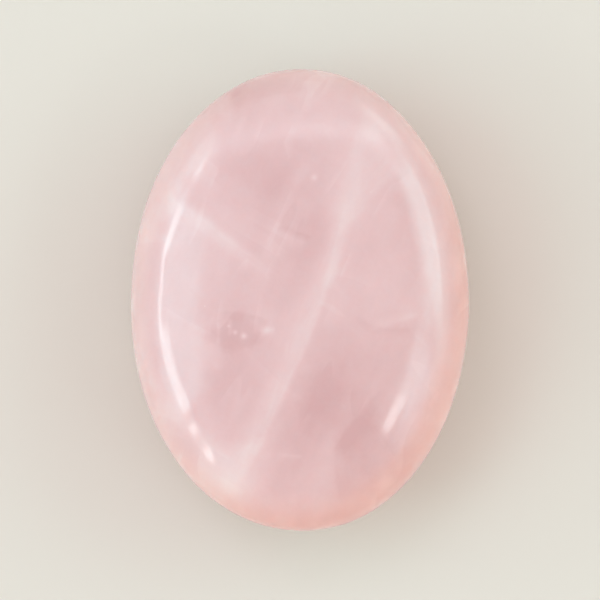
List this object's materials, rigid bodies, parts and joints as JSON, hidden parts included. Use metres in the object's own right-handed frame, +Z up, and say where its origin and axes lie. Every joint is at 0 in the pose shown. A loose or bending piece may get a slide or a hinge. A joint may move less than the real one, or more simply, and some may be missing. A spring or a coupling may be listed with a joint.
{
  "type": "rose quartz palm stone",
  "caption": "Smooth polished oval pebble of milky pink quartz, sized to be held in a closed hand, that lies on a small flat spot.",
  "frame": {"origin": "middle of the stone's plan, on the surface that it rests on, under its small flat spot", "axes": "+Z up; +Y along the stone's length, towards the end at the top of the picture; +X along its width, towards the picture's right"},
  "size_m": [0.0476, 0.065, 0.021],
  "materials": {
    "rose_quartz": "polished, milky and translucent, pale pink with white healed fractures"
  },
  "bodies": {
    "root": {"stone": "rose_quartz"}
  },
  "joints": []
}
